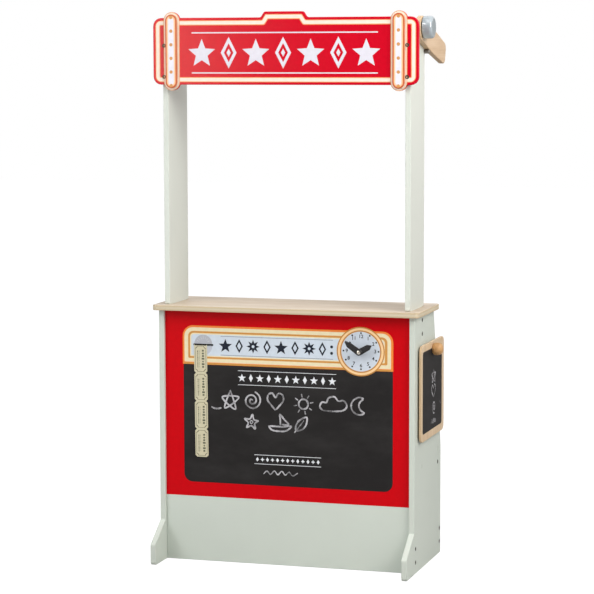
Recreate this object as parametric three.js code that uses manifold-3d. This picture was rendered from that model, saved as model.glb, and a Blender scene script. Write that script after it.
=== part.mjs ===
// A child's puppet theater stand: a flat-pack booth of painted boards with a counter, two posts,
// a header sign, a storage shelf, a play clock, a ticket strip, a hanging slate and a side arm.
// Millimetres. +X is the stand's right as the audience sees it, +Y is its back, +Z is up.
import * as THREE from "three";
import { mergeVertices } from "three/addons/utils/BufferGeometryUtils.js";
import { ConvexGeometry } from "three/addons/geometries/ConvexGeometry.js";
import Module from "manifold-3d";

const wasm = await Module();
wasm.setup();

// Stand
const stand_width = 582;
const board = 12;
const board_edge_round = 1.2;
const clearance = 0.3;
const cut_overrun = 4;

// Side panels: narrow at the top, deeper from the shelf down, with a toe that reaches forward
const panel_height = 560;
const panel_top_depth = 174;
const panel_base_depth = 246;
const panel_slant_foot_height = 246;
const panel_slant_blend = 120;
const toe_reach = 66;
const toe_height = 46;
const toe_root_height = 90;
const toe_tip_round = 7;
const panel_corner_round = 3;
const groove_depth = 4;

// Front panel and kick board
const front_set_back = 8;
const front_panel_thickness = 6;
const kick_height = 146;
const kick_floor_gap = 1;

// Counter
const counter_side_overhang = 11;
const counter_front_overhang = 13;
const counter_back_reach = 183;
const counter_corner_round = 8;

// Posts: full-width shoulders stand on the counter and a narrower tail goes down through it
const post_front = 7;
const post_depth = 123;
const post_top_height = 1190;
const post_tail_inset_front = 13;
const post_tail_inset_back = 14;
const post_tail_drop = 60;
const post_tail_round = 10;
const post_top_round = 20;
const post_shoulder_round = 3.5;

// Shelf, its lip and the lower rear rail
const shelf_height = 221;
const lip_height = 62;
const lip_front = 211;
const rear_rail_height = 64;
const rear_rail_floor_gap = 10;
const rear_rail_set_in = 4;

// Header sign
const sign_side_overhang = 7;
const sign_rise_over_post = 9.5;
const sign_height = 144.5;
const sign_thickness = 9;
const sign_corner_round = 18;
const sign_crest_width = 88;
const sign_crest_rise = 12.5;
const sign_crest_step = 8;
const sign_crest_round = 6;

// Bulb columns: a round-ended bump of the sign board with a raised strip on it
const bulb_column_set_in = 36;
const bulb_column_width = 37;
const bulb_column_overshoot = 12.7;
const bulb_strip_width = 27;
const bulb_strip_thickness = 5;
const bulb_strip_edge_round = 1.6;

// Play clock
const clock_set_in = 110;
const clock_drop = 78;
const clock_standoff_radius = 5;
const clock_standoff_length = 12.6;
const spindle_radius = 1.9;
const spindle_head_radius = 4.4;
const spindle_head_height = 2.2;
const spindle_tail = 5;
const spindle_nut_width = 7;
const spindle_nut_thickness = 3;
const hand_thickness = 1.8;
const hand_edge_ease = 0.5;
const hand_hole_radius = 2.2;
const hand_butt_radius = 7;
const hand_shoulder_half_width = 6.3;
const minute_hand_reach = 39.3;
const hour_hand_reach = 32.7;
const minute_hand_turn = THREE.MathUtils.degToRad(-55);
const hour_hand_turn = THREE.MathUtils.degToRad(61);

// Ticket slot and strip
const ticket_slot_set_in = 88.9;
const ticket_slot_width = 45;
const ticket_slot_end_round = 0.8;
const ticket_slot_height = 2;
const ticket_slot_drop = 76.6;
const ticket_strip_off_centre = 6.4;
const ticket_width = 30;
const ticket_length = 62.5;
const ticket_count = 4;
const ticket_thickness = 0.8;
const ticket_face_gap = 0.6;
const ticket_bend_round = 2;
const ticket_notch_radius = 4;
const ticket_strip_lean = 2.2;
const ticket_back_count = 1;

// Hanging slate and its peg
const slate_size = 211;
const slate_thickness = 5.5;
const slate_corner_round = 15;
const slate_edge_round = 1;
const slate_centre_y = 130;
const slate_peg_drop = 82;
const slate_hole_drop = 17;
const peg_tenon_radius = 5;
const peg_tenon_length = 10;
const peg_collar_radius = 9;
const peg_collar_length = 3.2;
const peg_neck_radius = 6;
const peg_head_radius = 14;
const peg_head_length = 22.5;

// Side arm on the right post, with its drum, bolt and stop peg
const arm_pivot_drop = 12.7;
const arm_droop = THREE.MathUtils.degToRad(16);
const arm_root_reach = 27;
const arm_length = 216;
const arm_top_half_width = 24.5;
const arm_bottom_half_width = 29.5;
const arm_tip_bottom_half_width = 22;
const arm_belly_reach = 100;
const arm_belly_round = 80;
const arm_tip_top_round = 13;
const arm_tip_bottom_round = 15;
const arm_edge_round = 1.6;
const arm_washer_radius = 22;
const arm_washer_thickness = 1.5;
const arm_drum_radius = 23;
const arm_drum_length = 21.5;
const arm_drum_edge_round = 4;
const arm_drum_crown = 1;
const arm_drum_wall = 5;
const arm_bolt_radius = 3;
const arm_bolt_head_radius = 6.5;
const arm_bolt_head_height = 2.6;
const stop_peg_radius = 4.5;
const stop_peg_reach = 67.5;
const stop_peg_tenon_radius = 3;
const stop_peg_tenon_length = 9;

// Screws
const panel_screw_head_radius = 4.8;
const panel_screw_head_height = 2.6;
const panel_screw_shank_radius = 2.2;
const panel_screw_length = 40;
const post_screw_length = 22;
const screw_pair_spacing = 30;
const post_screw_drop = 12;
const shelf_screw_depth = 67;
const sign_screw_head_radius = 4.2;
const sign_screw_head_height = 1.6;
const sign_screw_shank_radius = 1.9;
const sign_screw_length = 36;
const sign_screw_spacing = 67.5;
const sign_screw_drop = 60;

// Turned profiles: each row is [share of the radius, share of the length]
const peg_head_shares = [
  [0.74, 0], [0.88, 0.07], [0.97, 0.24], [1, 0.44], [0.95, 0.66], [0.77, 0.85], [0.47, 0.96], [0, 1],
];
const spindle_head_shares = [[0, 1], [0.55, 0.88], [0.9, 0.5], [1, 0]];
const screw_head_flat_share = 0.7;
const screw_head_rim_share = 0.33;
const bolt_head_flat_share = 0.75;
const drum_crown_share = 0.25;
const hand_shoulder_share = 0.72;

// Facets
const round_steps = 5;
const point_merge_gap = 0.02;
const screw_sides = 12;
const notch_sides = 4;
const peg_sides = 28;
const drum_sides = 40;

// Places that follow from the sizes above
const half_width = stand_width / 2;
const inner_half_width = half_width - board;
const counter_half_width = half_width + counter_side_overhang;
const front_panel_back = front_set_back + front_panel_thickness;
const counter_top_height = panel_height + board;
const post_back = post_front + post_depth;
const post_tail_front = post_front + post_tail_inset_front;
const post_tail_back = post_back - post_tail_inset_back;
const post_centre_y = (post_tail_front + post_tail_back) / 2;
const lip_bottom = shelf_height + board / 2 - lip_height / 2;
const rear_rail_back = panel_base_depth - rear_rail_set_in;
const rear_rail_centre_y = rear_rail_back - board / 2;
const rear_rail_centre_z = rear_rail_floor_gap + rear_rail_height / 2;
const sign_half_width = half_width + sign_side_overhang;
const sign_top = post_top_height + sign_rise_over_post;
const sign_bottom = sign_top - sign_height;
const sign_front = post_front - sign_thickness;
const bulb_column_centre = half_width - bulb_column_set_in;
const clock_centre_x = inner_half_width - clock_set_in;
const clock_centre_z = panel_height - clock_drop;
const ticket_slot_centre_x = ticket_slot_set_in - inner_half_width;
const ticket_slot_bottom = panel_height - ticket_slot_drop;
const ticket_strip_centre_x = ticket_slot_centre_x - ticket_strip_off_centre;
const slate_peg_height = panel_height - slate_peg_drop;
const arm_pivot_height = post_top_height - arm_pivot_drop;
const slate_inner_x = half_width + peg_collar_length + clearance;
const slate_outer_x = slate_inner_x + slate_thickness;
const peg_head_start = slate_outer_x + clearance;
const peg_end_x = peg_head_start + peg_head_length;
const arm_inner_x = inner_half_width + clearance;
const arm_outer_x = arm_inner_x + board - clearance;
const drum_inner_x = arm_outer_x + arm_washer_thickness;
const arm_pivot_y = (post_front + post_back) / 2;

const materials = {
  sage_paint: { color: 0xc8d0c6, roughness: 0.55, metalness: 0 },
  red_paint: { color: 0xc4101a, roughness: 0.45, metalness: 0 },
  natural_wood: { color: 0xd9c2a0, roughness: 0.6, metalness: 0 },
  turned_wood: { color: 0xc9a06a, roughness: 0.5, metalness: 0 },
  grey_paint: { color: 0x8f9698, roughness: 0.35, metalness: 0.2 },
  black_plastic: { color: 0x1c1c1e, roughness: 0.4, metalness: 0 },
  dark_steel: { color: 0x3a3631, roughness: 0.4, metalness: 0.9 },
  plated_steel: { color: 0xc9c6bf, roughness: 0.3, metalness: 0.9 },
  cream_card: { color: 0xdfd9bd, roughness: 0.8, metalness: 0 },
};

const stand = new THREE.Group();

function addPiece(name, geometry, finish) {
  const mesh = new THREE.Mesh(geometry, new THREE.MeshStandardMaterial(materials[finish]));
  mesh.name = name;
  stand.add(mesh);
  return mesh;
}

// Joining and cutting

function toSolid(geometry) {
  const bare = new THREE.BufferGeometry();
  bare.setAttribute("position", geometry.getAttribute("position").clone());
  if (geometry.index) bare.setIndex(geometry.index.clone());
  const merged = mergeVertices(bare);
  const vertProperties = new Float32Array(merged.getAttribute("position").array);
  const triVerts = new Uint32Array(merged.index.array);
  return new wasm.Manifold(new wasm.Mesh({ numProp: 3, vertProperties, triVerts }));
}

function toGeometry(solid) {
  const mesh = solid.getMesh();
  const geometry = new THREE.BufferGeometry();
  geometry.setAttribute("position", new THREE.BufferAttribute(mesh.vertProperties.slice(), 3));
  geometry.setIndex(new THREE.BufferAttribute(mesh.triVerts.slice(), 1));
  geometry.computeVertexNormals();
  return geometry;
}

function cut(geometry, cutters) {
  let solid = toSolid(geometry);
  for (const cutter of cutters) solid = solid.subtract(toSolid(cutter));
  return toGeometry(solid);
}

function join(geometries) {
  let solid = toSolid(geometries[0]);
  for (const geometry of geometries.slice(1)) solid = solid.add(toSolid(geometry));
  return toGeometry(solid);
}

// Outlines: each corner is [across, up, radius], taken anticlockwise

function filletedShape(corners) {
  const points = [];
  function addPoint(point) {
    const known = points.some((other) => other.distanceTo(point) < point_merge_gap);
    if (!known) points.push(point);
  }
  corners.forEach(([x, y, radius], i) => {
    const corner = new THREE.Vector2(x, y);
    const [px, py] = corners[(i + corners.length - 1) % corners.length];
    const [nx, ny] = corners[(i + 1) % corners.length];
    const back = new THREE.Vector2(px, py).sub(corner).normalize();
    const ahead = new THREE.Vector2(nx, ny).sub(corner).normalize();
    if (!radius) {
      addPoint(corner);
      return;
    }
    const half_angle = Math.acos(THREE.MathUtils.clamp(back.dot(ahead), -1, 1)) / 2;
    const reach = radius / Math.tan(half_angle);
    const start = corner.clone().addScaledVector(back, reach);
    const middle = back.clone().add(ahead).normalize();
    const centre = corner.clone().addScaledVector(middle, radius / Math.sin(half_angle));
    const sweep = (Math.PI - 2 * half_angle) * Math.sign(back.y * ahead.x - back.x * ahead.y);
    const steps = Math.max(2, Math.ceil(Math.abs(sweep) / (Math.PI / 2) * round_steps));
    for (let step = 0; step <= steps; step += 1) {
      addPoint(start.clone().rotateAround(centre, sweep * step / steps));
    }
  });
  return new THREE.Shape(points);
}

function rectangle(left, bottom, right, top, radius = 0) {
  return filletedShape([
    [left, bottom, radius],
    [right, bottom, radius],
    [right, top, radius],
    [left, top, radius],
  ]);
}

// A sheet of material from an outline, its edges eased on both faces

function slab(shape, thickness, edge_round = 0) {
  return new THREE.ExtrudeGeometry(shape, {
    depth: thickness - 2 * edge_round,
    bevelEnabled: edge_round > 0,
    bevelThickness: edge_round,
    bevelSize: edge_round,
    bevelOffset: -edge_round,
    bevelSegments: 2,
    curveSegments: round_steps,
    steps: 1,
  }).translate(0, 0, edge_round);
}

const unit_x = new THREE.Vector3(1, 0, 0);
const unit_y = new THREE.Vector3(0, 1, 0);
const unit_z = new THREE.Vector3(0, 0, 1);
const across_to_side = new THREE.Matrix4().makeBasis(unit_y, unit_z, unit_x);
const across_to_front = new THREE.Matrix4().makeBasis(unit_x, unit_z, unit_y.clone().negate());

// An upright board seen from the side: the outline is in depth and height, inner_x is its lower X face
function sideBoard(shape, thickness, low_x, edge_round) {
  return slab(shape, thickness, edge_round).applyMatrix4(across_to_side).translate(low_x, 0, 0);
}

// An upright board seen from the front: the outline is in width and height, back_y is its rear face
function frontBoard(shape, thickness, back_y, edge_round) {
  return slab(shape, thickness, edge_round).applyMatrix4(across_to_front).translate(0, back_y, 0);
}

function block(low, high) {
  const size = high.map((value, i) => value - low[i]);
  const centre = high.map((value, i) => (value + low[i]) / 2);
  return new THREE.BoxGeometry(...size).translate(...centre);
}

// A turned piece: the profile is [radius, distance along], turned about the axis that leaves from the origin
function turned(profile, sides, axis) {
  const points = profile.map(([radius, along]) => new THREE.Vector2(radius, along));
  const geometry = new THREE.LatheGeometry(points, sides);
  const turn = new THREE.Quaternion().setFromUnitVectors(unit_y, axis);
  return geometry.applyQuaternion(turn);
}

function rod(radius, from, to, sides, axis) {
  return turned([[0, from], [radius, from], [radius, to], [0, to]], sides, axis);
}

// Screws: a round head that lies in its recess, and a shank

function screw({ place, axis, head_radius, head_height, shank_radius, length, proud = 0 }) {
  const head_base = head_height - proud;
  const profile = [
    [0, -length],
    [shank_radius, shank_radius - length],
    [shank_radius, -head_base],
    [head_radius, -head_base],
    [head_radius, proud - head_height * screw_head_rim_share],
    [head_radius * screw_head_flat_share, proud],
    [0, proud],
  ];
  return turned(profile, screw_sides, axis).translate(...place);
}

function screwHole({ place, axis, head_radius, head_height, shank_radius, length, proud = 0 }) {
  const head_base = head_height - proud;
  const profile = [
    [0, -length - clearance],
    [shank_radius + clearance, -length - clearance],
    [shank_radius + clearance, -head_base - clearance],
    [head_radius + clearance, -head_base - clearance],
    [head_radius + clearance, cut_overrun],
    [0, cut_overrun],
  ];
  return turned(profile, screw_sides, axis).translate(...place);
}

function panelScrew(side, y, z, length = panel_screw_length) {
  return {
    place: [side * half_width, y, z],
    axis: unit_x.clone().multiplyScalar(side),
    head_radius: panel_screw_head_radius,
    head_height: panel_screw_head_height,
    shank_radius: panel_screw_shank_radius,
    length,
  };
}

const pair_half = screw_pair_spacing / 2;
const shelf_centre_z = shelf_height + board / 2;
const kick_centre_z = rear_rail_centre_z - rear_rail_set_in / 2;
const post_screw_top = panel_height - post_screw_drop;

function panelScrews(side) {
  return {
    post_screw_upper: panelScrew(side, post_centre_y, post_screw_top, post_screw_length),
    post_screw_lower: panelScrew(side, post_centre_y, post_screw_top - screw_pair_spacing, post_screw_length),
    shelf_screw: panelScrew(side, shelf_screw_depth, shelf_centre_z),
    lip_screw_upper: panelScrew(side, lip_front + board / 2, shelf_centre_z + pair_half),
    lip_screw_lower: panelScrew(side, lip_front + board / 2, shelf_centre_z - pair_half),
    rail_screw_upper: panelScrew(side, rear_rail_centre_y, rear_rail_centre_z + pair_half),
    rail_screw_lower: panelScrew(side, rear_rail_centre_y, rear_rail_centre_z - pair_half),
    kick_screw_upper: panelScrew(side, front_set_back + board / 2, kick_centre_z + pair_half),
    kick_screw_lower: panelScrew(side, front_set_back + board / 2, kick_centre_z - pair_half),
  };
}

const sides = { left: -1, right: 1 };
const screws = { left: panelScrews(-1), right: panelScrews(1) };

function screwHolesFor(side_name, ...names) {
  return names.map((name) => screwHole(screws[side_name][name]));
}

function bothSides(...names) {
  return [...screwHolesFor("left", ...names), ...screwHolesFor("right", ...names)];
}

// Side panels

function sidePanel(side_name) {
  const side = sides[side_name];
  const outline = filletedShape([
    [-toe_reach, 0, toe_tip_round],
    [panel_base_depth, 0, panel_corner_round],
    [panel_base_depth, panel_slant_foot_height, panel_slant_blend],
    [panel_top_depth, panel_height, 0],
    [0, panel_height, 0],
    [0, toe_root_height, panel_corner_round],
    [-toe_reach, toe_height, toe_tip_round],
  ]);
  const low_x = side < 0 ? -half_width : inner_half_width;
  const cutters = Object.values(screws[side_name]).map(screwHole);
  const groove_inner = inner_half_width - cut_overrun;
  const groove_outer = inner_half_width + groove_depth + clearance;
  cutters.push(block(
    [side < 0 ? -groove_outer : groove_inner, front_set_back - clearance, kick_height - clearance],
    [side < 0 ? -groove_inner : groove_outer, front_panel_back + clearance, panel_height + cut_overrun],
  ));
  if (side > 0) {
    const bore_depth = peg_tenon_length + clearance;
    const bore = rod(peg_tenon_radius + clearance, -bore_depth, cut_overrun, peg_sides, unit_x);
    cutters.push(bore.translate(half_width, slate_centre_y, slate_peg_height));
  }
  return cut(sideBoard(outline, board, low_x, board_edge_round), cutters);
}

for (const name of Object.keys(sides)) addPiece(`${name}_side_panel`, sidePanel(name), "sage_paint");

// Front panel: slides in the side panels' grooves and stands on the kick board

function frontPanel() {
  const reach = inner_half_width + groove_depth;
  const outline = rectangle(-reach, kick_height, reach, panel_height);
  const slot = rectangle(
    ticket_slot_centre_x - ticket_slot_width / 2,
    ticket_slot_bottom,
    ticket_slot_centre_x + ticket_slot_width / 2,
    ticket_slot_bottom + ticket_slot_height,
    ticket_slot_end_round,
  );
  const slot_depth = front_panel_thickness + 2 * cut_overrun;
  const bore = rod(spindle_radius + clearance, front_set_back - cut_overrun, front_panel_back + cut_overrun,
    peg_sides, unit_y);
  return cut(frontBoard(outline, front_panel_thickness, front_panel_back, 0), [
    frontBoard(slot, slot_depth, front_panel_back + cut_overrun, 0),
    bore.translate(clock_centre_x, 0, clock_centre_z),
  ]);
}

addPiece("front_panel", frontPanel(), "red_paint");

// Kick board, shelf, shelf lip and lower rear rail: plain boards screwed between the side panels

function crossRail(bottom, top, back_y, screw_names) {
  const outline = rectangle(-inner_half_width, bottom, inner_half_width, top);
  return cut(frontBoard(outline, board, back_y, board_edge_round), bothSides(...screw_names));
}

addPiece("kick_board",
  crossRail(kick_floor_gap, kick_height, front_set_back + board, ["kick_screw_upper", "kick_screw_lower"]),
  "sage_paint");
addPiece("shelf_lip",
  crossRail(lip_bottom, lip_bottom + lip_height, lip_front + board, ["lip_screw_upper", "lip_screw_lower"]),
  "sage_paint");
addPiece("lower_rear_rail",
  crossRail(rear_rail_floor_gap, rear_rail_floor_gap + rear_rail_height, rear_rail_back,
    ["rail_screw_upper", "rail_screw_lower"]),
  "sage_paint");

function shelf() {
  const outline = rectangle(-inner_half_width, front_panel_back + clearance, inner_half_width, lip_front);
  const blank = slab(outline, board, board_edge_round).translate(0, 0, shelf_height);
  return cut(blank, bothSides("shelf_screw"));
}

addPiece("storage_shelf", shelf(), "sage_paint");

// Counter: overhangs the front and both ends, with a slot for each post's tail

function counter() {
  const outline = rectangle(
    -counter_half_width, -counter_front_overhang, counter_half_width, counter_back_reach, counter_corner_round);
  const blank = slab(outline, board, board_edge_round).translate(0, 0, panel_height);
  const slot_inner = inner_half_width - board - clearance;
  const slot_outer = inner_half_width + clearance;
  const slot_floor = panel_height - cut_overrun;
  const slot_ceiling = counter_top_height + cut_overrun;
  const slots = Object.values(sides).map((side) => block(
    [Math.min(side * slot_inner, side * slot_outer), post_tail_front - clearance, slot_floor],
    [Math.max(side * slot_inner, side * slot_outer), post_tail_back + clearance, slot_ceiling],
  ));
  return cut(blank, slots);
}

addPiece("counter_top", counter(), "natural_wood");

// Sign screws go through the sign into the posts' front edges

const post_centre_x = inner_half_width - board / 2;
const sign_screw_top = sign_top - sign_screw_drop;

function signScrew(side, z) {
  return {
    place: [side * post_centre_x, sign_front, z],
    axis: unit_y.clone().negate(),
    head_radius: sign_screw_head_radius,
    head_height: sign_screw_head_height + clearance,
    shank_radius: sign_screw_shank_radius,
    length: sign_screw_length,
    proud: sign_screw_head_height / 2,
  };
}

const sign_screws = {
  left_sign_screw_upper: signScrew(-1, sign_screw_top),
  left_sign_screw_lower: signScrew(-1, sign_screw_top - sign_screw_spacing),
  right_sign_screw_upper: signScrew(1, sign_screw_top),
  right_sign_screw_lower: signScrew(1, sign_screw_top - sign_screw_spacing),
};

// Posts

const arm_axis_cos = Math.cos(arm_droop);
const arm_axis_sin = Math.sin(arm_droop);

// A point of the arm, given along its length and square to it, as depth and height on the stand
function onArm(along, square) {
  return [
    arm_pivot_y + along * arm_axis_cos + square * arm_axis_sin,
    arm_pivot_height - along * arm_axis_sin + square * arm_axis_cos,
  ];
}

const [stop_peg_y, stop_peg_z] = onArm(stop_peg_reach, -arm_bottom_half_width - clearance - stop_peg_radius);

function post(side_name) {
  const side = sides[side_name];
  const tail_bottom = panel_height - post_tail_drop;
  const outline = filletedShape([
    [post_tail_front, tail_bottom, post_tail_round],
    [post_tail_back, tail_bottom, post_tail_round],
    [post_tail_back, counter_top_height, 0],
    [post_back, counter_top_height, 0],
    [post_back, post_top_height, post_top_round],
    [post_front, post_top_height, panel_corner_round],
    [post_front, counter_top_height, post_shoulder_round],
    [post_tail_front, counter_top_height, 0],
  ]);
  const low_x = side < 0 ? -inner_half_width : inner_half_width - board;
  const cutters = screwHolesFor(side_name, "post_screw_upper", "post_screw_lower");
  for (const [name, place] of Object.entries(sign_screws)) {
    if (name.startsWith(side_name)) cutters.push(screwHole(place));
  }
  if (side > 0) {
    const bolt_bore = rod(arm_bolt_radius + clearance, -board - cut_overrun, cut_overrun, peg_sides, unit_x);
    cutters.push(bolt_bore.translate(inner_half_width, arm_pivot_y, arm_pivot_height));
    const peg_bore = rod(stop_peg_tenon_radius + clearance, -stop_peg_tenon_length - clearance, cut_overrun,
      screw_sides, unit_x);
    cutters.push(peg_bore.translate(inner_half_width, stop_peg_y, stop_peg_z));
  }
  return cut(sideBoard(outline, board, low_x, board_edge_round), cutters);
}

for (const name of Object.keys(sides)) addPiece(`${name}_post`, post(name), "sage_paint");

// Header sign: a long board with rounded ends, a raised crest and two round-ended columns

function columnShape(width, bottom, top) {
  return rectangle(
    bulb_column_centre - width / 2, bottom, bulb_column_centre + width / 2, top, width / 2);
}

const column_bottom = sign_bottom - bulb_column_overshoot;
const column_top = sign_top + bulb_column_overshoot;
const strip_inset = (bulb_column_width - bulb_strip_width) / 2;

function headerSign() {
  const half = sign_half_width;
  const crest = sign_crest_width / 2;
  const outline = filletedShape([
    [-half, sign_bottom, sign_corner_round],
    [half, sign_bottom, sign_corner_round],
    [half, sign_top, sign_corner_round],
    [crest + sign_crest_step, sign_top, sign_crest_round],
    [crest, sign_top + sign_crest_rise, sign_crest_round],
    [-crest, sign_top + sign_crest_rise, sign_crest_round],
    [-crest - sign_crest_step, sign_top, sign_crest_round],
    [-half, sign_top, sign_corner_round],
  ]);
  const column = columnShape(bulb_column_width, column_bottom, column_top);
  const boards = [frontBoard(outline, sign_thickness, post_front, board_edge_round)];
  boards.push(frontBoard(column, sign_thickness, post_front, board_edge_round));
  boards.push(frontBoard(column, sign_thickness, post_front, board_edge_round)
    .translate(-2 * bulb_column_centre, 0, 0));
  return cut(join(boards), Object.values(sign_screws).map(screwHole));
}

addPiece("header_sign", headerSign(), "red_paint");

for (const [name, side] of Object.entries(sides)) {
  const shape = columnShape(bulb_strip_width, column_bottom + strip_inset, column_top - strip_inset);
  const strip = frontBoard(shape, bulb_strip_thickness, sign_front, bulb_strip_edge_round);
  if (side < 0) strip.translate(-2 * bulb_column_centre, 0, 0);
  addPiece(`${name}_bulb_strip`, strip, "natural_wood");
}

// Play clock: two broad hands that turn in front of a standoff, on a spindle that goes through the front
// panel to a nut

const clock_place = [clock_centre_x, 0, clock_centre_z];
const standoff_front = front_set_back - clock_standoff_length;
const hour_hand_back = standoff_front - clearance;
const minute_hand_back = hour_hand_back - hand_thickness - clearance;
const spindle_head_back = minute_hand_back - hand_thickness - clearance;
const spindle_end = front_panel_back + spindle_nut_thickness + spindle_tail;

// A broad hand with a round butt, nearly straight sides and a blunt point; it points up before it is turned
// clockwise. Its front edges are eased.
function clockHand(reach, back_y, turn) {
  const points = [];
  for (const [ease, y] of [[0, 0], [0, hand_edge_ease - hand_thickness], [hand_edge_ease, -hand_thickness]]) {
    const butt = hand_butt_radius - ease;
    const shoulder = hand_shoulder_half_width - ease;
    const shoulder_height = reach * hand_shoulder_share;
    points.push(new THREE.Vector3(0, y, reach - ease));
    points.push(new THREE.Vector3(shoulder, y, shoulder_height));
    points.push(new THREE.Vector3(-shoulder, y, shoulder_height));
    for (let step = 0; step <= 2 * round_steps; step += 1) {
      const around = Math.PI * step / (2 * round_steps);
      points.push(new THREE.Vector3(butt * Math.cos(around), y, -butt * Math.sin(around)));
    }
  }
  const bore = rod(hand_hole_radius, -hand_thickness - cut_overrun, cut_overrun, peg_sides, unit_y);
  const hand = cut(new ConvexGeometry(points), [bore]);
  return hand.rotateY(turn).translate(clock_centre_x, back_y, clock_centre_z);
}

addPiece("hour_hand", clockHand(hour_hand_reach, hour_hand_back, hour_hand_turn), "black_plastic");
addPiece("minute_hand", clockHand(minute_hand_reach, minute_hand_back, minute_hand_turn), "black_plastic");

function ring(outer, inner, from, to, sides_count, axis) {
  return turned([[inner, from], [outer, from], [outer, to], [inner, to], [inner, from]], sides_count, axis);
}

addPiece("clock_standoff",
  ring(clock_standoff_radius, spindle_radius + clearance, standoff_front, front_set_back, peg_sides, unit_y)
    .translate(...clock_place),
  "black_plastic");

const spindle_profile = [
  ...spindle_head_shares.map(([across, along]) =>
    [spindle_head_radius * across, spindle_head_back - spindle_head_height * along]),
  [spindle_radius, spindle_head_back],
  [spindle_radius, spindle_end - spindle_radius / 2],
  [spindle_radius / 2, spindle_end],
  [0, spindle_end],
];
addPiece("clock_spindle", turned(spindle_profile, peg_sides, unit_y).translate(...clock_place), "plated_steel");

function spindleNut() {
  const corner = spindle_nut_width / Math.sqrt(3);
  const blank = rod(corner, front_panel_back, front_panel_back + spindle_nut_thickness, 6, unit_y);
  const bore = rod(spindle_radius + clearance / 3, 0, spindle_end + cut_overrun, peg_sides, unit_y);
  return cut(blank, [bore]).translate(...clock_place);
}

addPiece("spindle_nut", spindleNut(), "dark_steel");

// Ticket strip: hangs in front, leaning a little, bends through the slot and hangs behind;
// it is notched between tickets

function ticketStrip() {
  const face_back = front_set_back - ticket_face_gap;
  const face_front = face_back - ticket_thickness;
  const rear_front = front_panel_back + ticket_face_gap;
  const rear_back = rear_front + ticket_thickness;
  const pass_bottom = ticket_slot_bottom + clearance;
  const pass_top = pass_bottom + ticket_thickness;
  const front_end = pass_top - ticket_count * ticket_length;
  const back_end = pass_top - ticket_back_count * ticket_length;
  const inner_round = ticket_bend_round - ticket_thickness;
  const outline = filletedShape([
    [face_front, front_end, 0],
    [face_back, front_end, 0],
    [face_back, pass_bottom, inner_round],
    [rear_front, pass_bottom, inner_round],
    [rear_front, back_end, 0],
    [rear_back, back_end, 0],
    [rear_back, pass_top, ticket_bend_round],
    [face_front, pass_top, ticket_bend_round],
  ]);
  const low_x = ticket_strip_centre_x - ticket_width / 2;
  const notches = [];
  for (const edge_x of [low_x, low_x + ticket_width]) {
    for (let i = 1; i <= ticket_count; i += 1) {
      const notch = rod(ticket_notch_radius, face_front - cut_overrun, face_back + ticket_face_gap / 2,
        notch_sides, unit_y);
      notches.push(notch.translate(edge_x, 0, pass_top - i * ticket_length));
    }
  }
  const strip = cut(sideBoard(outline, ticket_width, low_x, 0), notches);
  const corner = strip.getAttribute("position");
  for (let i = 0; i < corner.count; i += 1) {
    if (corner.getY(i) > front_set_back) continue;
    const drop_share = Math.max(0, pass_bottom - corner.getZ(i)) / (ticket_count * ticket_length);
    corner.setX(i, corner.getX(i) + ticket_strip_lean * drop_share);
  }
  strip.computeVertexNormals();
  return strip;
}

addPiece("ticket_strip", ticketStrip(), "cream_card");

// Hanging slate: a square board that swings on a turned peg in the right side panel

function hangingSlate() {
  const top = slate_peg_height + slate_hole_drop;
  const front = slate_centre_y - slate_size / 2;
  const outline = rectangle(front, top - slate_size, front + slate_size, top, slate_corner_round);
  const bore = rod(peg_neck_radius + clearance, -cut_overrun, slate_thickness + cut_overrun, peg_sides, unit_x)
    .translate(slate_inner_x, slate_centre_y, slate_peg_height);
  return cut(sideBoard(outline, slate_thickness, slate_inner_x, slate_edge_round), [bore]);
}

addPiece("hanging_slate", hangingSlate(), "natural_wood");

const collar_end = half_width + peg_collar_length;
const peg_profile = [
  [0, half_width - peg_tenon_length],
  [peg_tenon_radius, half_width - peg_tenon_length],
  [peg_tenon_radius, half_width],
  [peg_collar_radius, half_width],
  [peg_collar_radius, collar_end],
  [peg_neck_radius, collar_end],
  [peg_neck_radius, peg_head_start],
  ...peg_head_shares.map(([across, along]) =>
    [peg_head_radius * across, peg_head_start + peg_head_length * along]),
];
addPiece("slate_peg", turned(peg_profile, peg_sides, unit_x).translate(0, slate_centre_y, slate_peg_height),
  "turned_wood");

// Side arm: a drooping slat that turns on a bolt through the right post and rests on a stop peg

const arm_place = [0, arm_pivot_y, arm_pivot_height];

function sideArm() {
  const tip_round_top = arm_tip_top_round;
  const outline = filletedShape([
    [-arm_root_reach, -arm_bottom_half_width, arm_root_reach],
    [arm_belly_reach, -arm_bottom_half_width, arm_belly_round],
    [arm_length, -arm_tip_bottom_half_width, arm_tip_bottom_round],
    [arm_length, arm_top_half_width, tip_round_top],
    [-arm_root_reach, arm_top_half_width, arm_root_reach],
  ]);
  const bore = rod(arm_bolt_radius + clearance, -cut_overrun, board + cut_overrun, peg_sides, unit_x)
    .translate(arm_inner_x, 0, 0);
  return cut(sideBoard(outline, arm_outer_x - arm_inner_x, arm_inner_x, arm_edge_round), [bore])
    .rotateX(-arm_droop).translate(...arm_place);
}

addPiece("side_arm", sideArm(), "natural_wood");

addPiece("arm_washer",
  ring(arm_washer_radius, arm_bolt_radius + clearance, arm_outer_x, drum_inner_x, drum_sides, unit_x)
    .translate(...arm_place),
  "black_plastic");

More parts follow.
